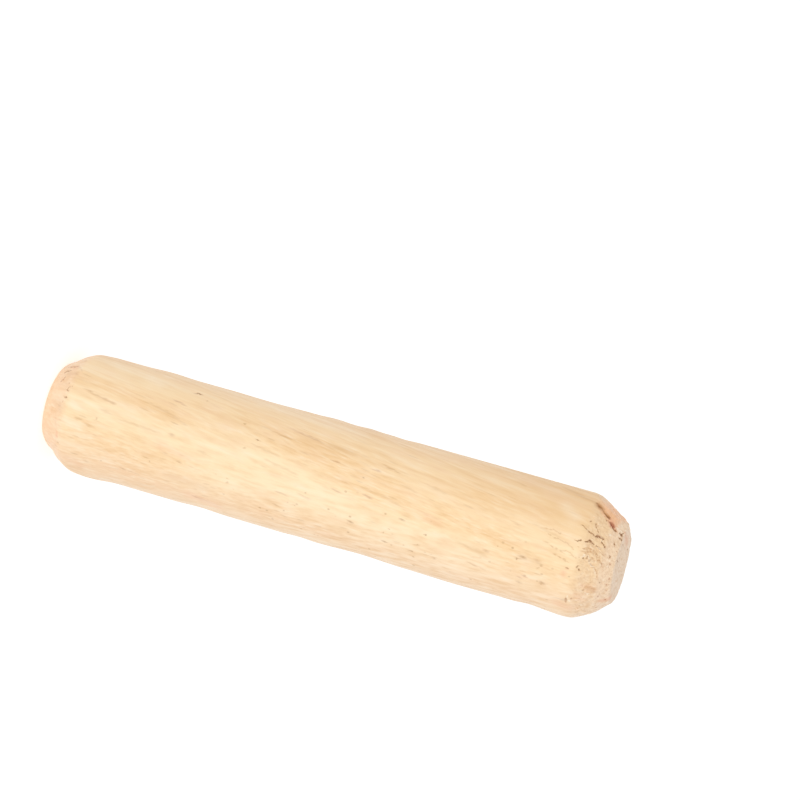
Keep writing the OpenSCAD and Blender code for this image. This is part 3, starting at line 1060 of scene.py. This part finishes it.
    def tones(self, points: Points, normals: Points) -> dict[str, Points]:
        """Return the broad tones of the skin: torn ends, end grain, the tan of the sides and tip, where the sides'
        tan is painted shade, and the rosy sides, partly painted sheen.

        Args:
            points: the skin's points, in millimetres.
            normals: their normals.

        Returns:
            A value from 0 to 1 for each point, by the name of its attribute.
        """
        s, sides = self.section, self.sides
        height = points[:, 2]
        drop = s.length - height
        aside = turn_from(self.seen_side, points)
        shown = 1.0 - smooth_step(*sides.hidden, np.abs(aside))
        tip = 1.0 - smooth_step(*(s.tip_chamfer_h + blend for blend in sides.tip_blend), drop)
        foot = 1.0 - smooth_step(*(s.foot_chamfer_h + blend for blend in sides.foot_blend), height)
        upper = shown * (1.0 - smooth_step(*sides.upper, aside))
        back = shown * (1.0 - smooth_step(*sides.back, aside))
        lower = shown * smooth_step(*sides.lower, aside)
        tipwards = smooth_step(*sides.tipwards, height)
        start = s.length - s.tip_chamfer_h - sides.ruddy_below
        edge = sides.ruddy_edge + sides.ruddy_slant * (height - start)
        far_chamfer = shown * tip * (1.0 - smooth_step(edge, edge + sides.ruddy_blend, aside))
        return {
            "tip": tip,
            "foot": foot,
            "end_grain": smooth_step(*sides.end_grain, np.abs(normals[:, 2])),
            "ruddy": far_chamfer * smooth_step(*sides.ruddy_drops, drop),
            # Painted shade on the upper side and the back, with the wood's own tan towards the tip
            "tan": (upper * (sides.upper_shade + sides.tan_tip * tipwards) + sides.tan_tip * back * tipwards
                    + sides.tan_round * tipwards
                    + sides.back_shade * back * (1.0 - tipwards) * smooth_step(*sides.mid_heights, height)),
            # Partly painted sheen and bounce light on the lower side and the back below the tip
            "rosy_sheen": np.maximum(lower, sides.back_sheen * back * (1.0 - tipwards)),
            "flecked": (shown * smooth_step(*sides.flecked, aside)
                        * smooth_step(*sides.fleck_heights, height)),
        }

    def wear(self, pin: bpy.types.Object) -> None:
        """Pare the flats, open the tears and mark the mesh for its material.

        Args:
            pin: the refined blank, whose mesh is changed.
        """
        mesh = pin.data
        count = len(mesh.vertices)
        places, normals = np.empty(count * 3), np.empty(count * 3)
        mesh.vertices.foreach_get("co", places)
        points = self.pare(places.reshape(-1, 3) / MM)
        mesh.vertices.foreach_set("co", (points * MM).ravel())
        mesh.update()
        mesh.vertices.foreach_get("normal", normals)
        normals = normals.reshape(-1, 3)
        marks = {tint.value: np.zeros(count) for tint in Tint}
        depth = np.zeros(count)
        loose = self.ragged(points)
        for mark in self.marks:
            ratio = self.nearness(loose, mark)
            depth = np.maximum(depth, mark.depth * np.clip(1.0 - ratio, 0.0, 1.0) ** self.mark_roundness)
            shade = mark.strength * (1.0 - smooth_step(1.0 - mark.softness, 1.0 + mark.softness, ratio))
            marks[mark.tint.value] = np.maximum(marks[mark.tint.value], shade)
        fields = marks | self.tones(points, normals)
        points = self.swell(points - normals * depth[:, None])
        mesh.vertices.foreach_set("co", (points * MM).ravel())
        for name, values in fields.items():
            layer = mesh.attributes.new(name, "FLOAT", "POINT")
            layer.data.foreach_set("value", values.astype(np.float32))
        mesh.update()

    def roughen_tree(self) -> Tree:
        """Build the node tree that gives the skin its waves and the torn ends their fibres and pores.

        Returns:
            A tree whose inputs are lengths in millimetres; it also stores how much each point lies in a groove or
            pore, which the material paints as shade.
        """
        numbers = ("Wave Height", "Wave Length", "Lump Height", "Lump Size", "Fibre Depth", "Fibre Width",
                   "Fibre Run", "Pore Depth", "Pore Gap", "Seed")
        tree, given = start_tree("roughen_skin", {"Pin": "Geometry"} | dict.fromkeys(numbers, "Float")
                                 | {"Wood": "Material"}, "Pin")
        add = partial(add_node, tree)
        tip, foot, cut = (add(ATTRIBUTE, {"Name": name}, data_type="FLOAT")
                          for name in ("tip", "foot", "end_grain"))
        here = add(VECTOR_MATH, (add("GeometryNodeInputPosition"), (1 / MM,) * 3), operation="MULTIPLY")
        grain = add("ShaderNodeVectorRotate", {"Vector": here, "Rotation": GRAIN_TURN},
                    rotation_type="EULER_XYZ")
        torn = add(MATH, (tip, add(MATH, (foot, self.foot_tearing), operation="MULTIPLY")),
                   operation="MAXIMUM")
        across = add("ShaderNodeCombineXYZ", (given["Fibre Width"], given["Fibre Width"], given["Fibre Run"]))
        noises = []
        for place, size, detail in ((here, given["Wave Length"], 1.0), (here, given["Lump Size"], 3.0),
                                    (grain, across, 3.0)):
            spot = add(VECTOR_MATH, (place, size), operation="DIVIDE")
            cloud = add(NOISE, {"Vector": spot, "W": given["Seed"], "Scale": 1.0, "Detail": detail},
                        noise_dimensions="4D")
            noises.append(add(MATH, (cloud, 0.5), operation="SUBTRACT"))
        waves = add(MATH, (noises[0], given["Wave Height"]), operation="MULTIPLY")
        lump_height = add(MATH, (given["Lump Height"], torn), operation="MULTIPLY")
        lumps = add(MATH, (noises[1], lump_height), operation="MULTIPLY")
        ridge = add(MATH, (noises[2],), operation="ABSOLUTE")
        groove = add(MAP_RANGE, {"Value": ridge, "From Min": self.fibre_edge, "From Max": 0.0})
        groove = add(MATH, (groove, torn), operation="MULTIPLY")
        spot = add(VECTOR_MATH, (here, given["Pore Gap"]), operation="DIVIDE")
        cell = add("ShaderNodeTexVoronoi", {"Vector": spot, "Scale": 1.0}).node.outputs
        edge, middle = self.pore_edges
        pore = add(MAP_RANGE, {"Value": cell["Distance"], "From Min": edge, "From Max": middle})
        chance = add("ShaderNodeSeparateXYZ", (cell["Color"],))
        kept = add(MATH, (chance, self.pores_left_out), operation="GREATER_THAN")
        open_ends = add(MATH, (cut, torn), operation="MULTIPLY")
        open_sides = add(MATH, (torn, self.side_pores), operation="MULTIPLY")
        opened = add(MATH, (open_ends, open_sides), operation="MAXIMUM")
        for share in (kept, opened):
            pore = add(MATH, (pore, share), operation="MULTIPLY")
        grooves = add(MATH, (groove, given["Fibre Depth"]), operation="MULTIPLY")
        pores = add(MATH, (pore, given["Pore Depth"]), operation="MULTIPLY")
        raised = add(MATH, (waves, lumps), operation="ADD")
        raised = add(MATH, (raised, add(MATH, (grooves, pores), operation="ADD")), operation="SUBTRACT")
        raised = add(MATH, (raised, MM), operation="MULTIPLY")
        push = add(VECTOR_MATH, {0: add("GeometryNodeInputNormal"), 3: raised}, operation="SCALE")
        # Painted shade: the grooves and pores are stored so that the material darkens them
        cavity = add(MATH, (groove, pore), operation="MAXIMUM")
        marked = add("GeometryNodeStoreNamedAttribute",
                     {"Geometry": given["Pin"], "Name": "cavity", "Value": cavity},
                     data_type="FLOAT", domain="POINT")
        moved = add("GeometryNodeSetPosition", {"Geometry": marked, "Offset": push})
        end_tree(tree, add("GeometryNodeSetShadeSmooth", (moved,)), given["Wood"])
        return tree

    def sliver_tree(self) -> Tree:
        """Build the node tree that strews the torn tip with slivers of raised grain.

        Returns:
            A tree that turns the pin into slivers alone; its lengths are in millimetres.
        """
        numbers = ("Slivers Per Square", "Sliver Length", "Sliver Width", "Lift", "Scatter")
        tree, given = start_tree("raise_slivers", {"Pin": "Geometry"} | dict.fromkeys(numbers, "Float")
                                 | {"Seed": "Int", "Wood": "Material"}, "Slivers")
        add = partial(add_node, tree)
        torn, cut = (add(ATTRIBUTE, {"Name": name}, data_type="FLOAT") for name in ("tip", "end_grain"))
        density = add(MATH, (torn, add(MATH, (1.0, cut), operation="SUBTRACT")), operation="MULTIPLY")
        density = add(MATH, (density, self.sliver_crowding), operation="POWER")
        fullest = add(MATH, (given["Slivers Per Square"], 1 / MM ** 2), operation="MULTIPLY")
        density = add(MATH, (density, fullest), operation="MULTIPLY")
        strewn = add("GeometryNodeDistributePointsOnFaces",
                     {"Mesh": given["Pin"], "Density": density, "Seed": given["Seed"]}).node.outputs
        normal = strewn["Normal"]
        rise = add(VECTOR_MATH, (normal, GRAIN), 1, operation="DOT_PRODUCT")
        out = add(VECTOR_MATH, {0: normal, 3: rise}, operation="SCALE")
        heading = add(VECTOR_MATH, (GRAIN, out), operation="SUBTRACT")
        swing = add("FunctionNodeRandomValue", {"Min": (-1.0,) * 3, "Max": (1.0,) * 3, "Seed": given["Seed"]},
                    data_type="FLOAT_VECTOR")
        for way, amount in ((swing, given["Scatter"]), (normal, given["Lift"])):
            heading = add(VECTOR_MATH, (heading, add(VECTOR_MATH, {0: way, 3: amount}, operation="SCALE")),
                          operation="ADD")
        turn = add("FunctionNodeAlignRotationToVector", {"Vector": heading}, axis="Z")
        point, root, length = (
            add(MATH, (given["Sliver " + side], share * MM), operation="MULTIPLY")
            for side, share in (("Width", self.sliver_point), ("Width", 0.5), ("Length", 1)))
        sliver = add("GeometryNodeMeshCone", {"Vertices": self.sliver_sides, "Radius Top": point,
                                              "Radius Bottom": root, "Depth": length})
        least, most = self.sliver_sizes
        size = add("FunctionNodeRandomValue", {2: least, 3: most, "Seed": given["Seed"]}, 1,
                   data_type="FLOAT")
        pale = add("GeometryNodeStoreNamedAttribute",
                   {"Geometry": sliver, "Name": PALE.value, "Value": self.sliver_paleness},
                   data_type="FLOAT", domain="POINT")
        placed = add("GeometryNodeInstanceOnPoints",
                     {"Points": strewn["Points"], "Instance": pale, "Rotation": turn, "Scale": size})
        end_tree(tree, placed, given["Wood"])
        return tree

    def build(self, wood: bpy.types.Material) -> None:
        """Build the whole pin and the slivers that its tip carries, and put them in the frame.

        Args:
            wood: the material of both pieces.
        """
        pin = self.turn(wood)
        self.refine(pin)
        self.wear(pin)
        values = {"Wave Height": self.wave_height, "Wave Length": self.wave_length,
                  "Lump Height": self.lump_height, "Lump Size": self.lump_size,
                  "Fibre Depth": self.fibre_depth, "Fibre Width": self.fibre_width,
                  "Fibre Run": self.fibre_run, "Pore Depth": self.pore_depth,
                  "Pore Gap": self.pore_gap, "Seed": float(self.seed), "Wood": wood}
        pin = made_real(pin, self.roughen_tree(), values, "turned_pin")
        settle(pin, replaced=True)
        values = {"Slivers Per Square": self.slivers_per_square, "Sliver Length": self.sliver_length,
                  "Sliver Width": self.sliver_width, "Lift": self.sliver_lift,
                  "Scatter": self.sliver_scatter, "Seed": self.seed, "Wood": wood}
        torn_tip = linked("torn_tip", pin.data.copy())
        settle(made_real(torn_tip, self.sliver_tree(), values, "raised_slivers"))


@dataclass
class Studio:
    """A white table under soft light, and a camera at the photograph's angle. Sizes are in millimetres."""

    camera_place: tuple[float, float, float] = (-6.329, -159.529, 63.597)
    look_down: float = 14.5
    roll: float = 105.5
    lens: float = 115.125
    clip: tuple[float, float] = (5.0, 50000.0)
    floor_size: float = 9000.0
    floor_lift: float = 0.25
    floor_seen: float = 0.4
    sky: float = 0.755
    key_power: float = 0.34
    key_place: tuple[float, float, float] = (60.0, -335.0, 90.0)
    key_aim: tuple[float, float, float] = (0.0, 0.0, 20.0)
    key_size: float = 260.0

    def camera(self) -> None:
        """Place the camera: it looks along +Y and down, rolled so that the pin lies across the picture."""
        data = bpy.data.cameras.new("photo_camera")
        data.lens = self.lens
        data.clip_start, data.clip_end = (distance * MM for distance in self.clip)
        pitch = Matrix.Rotation(math.radians(90 - self.look_down), 4, "X")
        turn = Matrix.Rotation(math.radians(self.roll), 4, "Z")
        camera = linked("photo_camera", data)
        camera.matrix_world = Matrix.Translation(Vector(self.camera_place) * MM) @ pitch @ turn
        bpy.context.scene.camera = camera

    def floor(self) -> None:
        """Lay the white table, which keeps the pin's shadow."""
        half = self.floor_size / 2 * MM
        mesh = bpy.data.meshes.new("table")
        mesh.from_pydata([(-half, -half, 0), (half, -half, 0), (half, half, 0), (-half, half, 0)], [],
                         [(0, 1, 2, 3)])
        mesh.materials.append(self.table_paper())
        table = linked("table", mesh)

    def table_paper(self) -> bpy.types.Material:
        """Make white paper that reads as white to the camera and still takes a shadow.

        Returns:
            The material.
        """
        material = bpy.data.materials.new("white_paper")
        add = partial(add_node, emptied(material))
        rays = add("ShaderNodeLightPath").node.outputs
        seen = add(MATH, (rays["Is Camera Ray"], rays["Is Glossy Ray"]), operation="MAXIMUM")
        lift = add(MAP_RANGE, {"Value": seen, "To Min": self.floor_lift, "To Max": self.floor_seen})
        paper = add("ShaderNodeBsdfDiffuse", {"Color": linear("#f4f4f4")})
        glow = add("ShaderNodeEmission", {"Color": linear("#ffffff"), "Strength": lift})
        add("ShaderNodeOutputMaterial", {"Surface": add("ShaderNodeAddShader", (paper, glow))})
        return material

    def sky_light(self) -> None:
        """Light the scene evenly from all round, with a white background for the camera."""
        world = bpy.data.worlds.new("studio")
        add = partial(add_node, emptied(world))
        rays = add("ShaderNodeLightPath").node.outputs
        seen = add(MATH, (rays["Is Camera Ray"], rays["Is Glossy Ray"]), operation="MAXIMUM")
        seen = add(MATH, (seen, rays["Is Transmission Ray"]), operation="MAXIMUM")
        strength = add(MAP_RANGE, {"Value": seen, "To Min": self.sky})
        sky = add("ShaderNodeBackground", {"Color": linear("#ffffff"), "Strength": strength})
        add("ShaderNodeOutputWorld", {"Surface": sky})
        bpy.context.scene.world = world

    def key_lamp(self) -> None:
        """Hang a broad soft lamp above the camera."""
        data = bpy.data.lights.new("key", "AREA")
        data.shape = "SQUARE"
        data.size = self.key_size * MM
        data.energy = self.key_power
        place = Vector(self.key_place) * MM
        aim = Vector(self.key_aim) * MM - place
        lamp = linked("key", data)
        lamp.matrix_world = Matrix.Translation(place) @ aim.to_track_quat("-Z", "Y").to_matrix().to_4x4()

    def build(self) -> None:
        """Set up the camera, the table and the lights."""
        self.camera()
        self.floor()
        self.sky_light()
        self.key_lamp()
        bpy.context.scene.view_settings.view_transform = "Standard"


def main() -> None:
    """Build the pin in its studio."""
    logging.basicConfig(level=logging.INFO, format="%(name)s: %(message)s")
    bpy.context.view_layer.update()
    wood = BeechFinish().build()
    TurnedPin(Section.from_frame()).build(wood)
    Studio().build()


if __name__ == "__main__":
    main()
